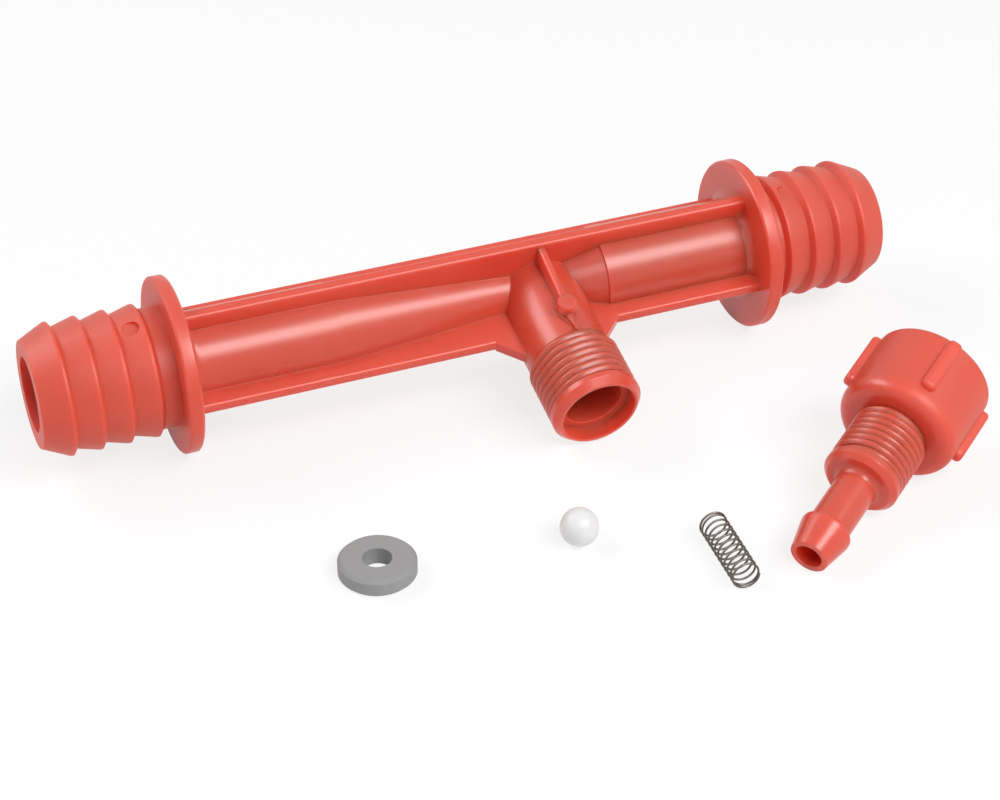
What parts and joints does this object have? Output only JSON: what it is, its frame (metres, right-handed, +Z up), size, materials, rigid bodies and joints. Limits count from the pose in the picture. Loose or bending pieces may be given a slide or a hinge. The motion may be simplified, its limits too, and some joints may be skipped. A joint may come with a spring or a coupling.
{
  "type": "ozone injector",
  "caption": "Moulded venturi injector body with barbed hose ends and a threaded suction port, with its barbed cap, gasket, check ball and spring laid out beside it.",
  "frame": {"origin": "middle of the footprint of the whole layout, on the surface that the pieces lie on", "axes": "+X along the injector body from its outlet to its inlet, +Y away from the suction port's mouth, +Z up"},
  "size_m": [0.1522, 0.0892, 0.03],
  "materials": {
    "red_plastic": "moulded, satin gloss",
    "grey_rubber": "moulded, matte",
    "white_plastic": "ground ball, satin",
    "spring_steel": "drawn wire"
  },
  "bodies": {
    "root": {"injector_body": "red_plastic", "suction_cap": "red_plastic", "check_gasket": "grey_rubber", "check_ball": "white_plastic", "check_spring": "spring_steel"}
  },
  "joints": []
}
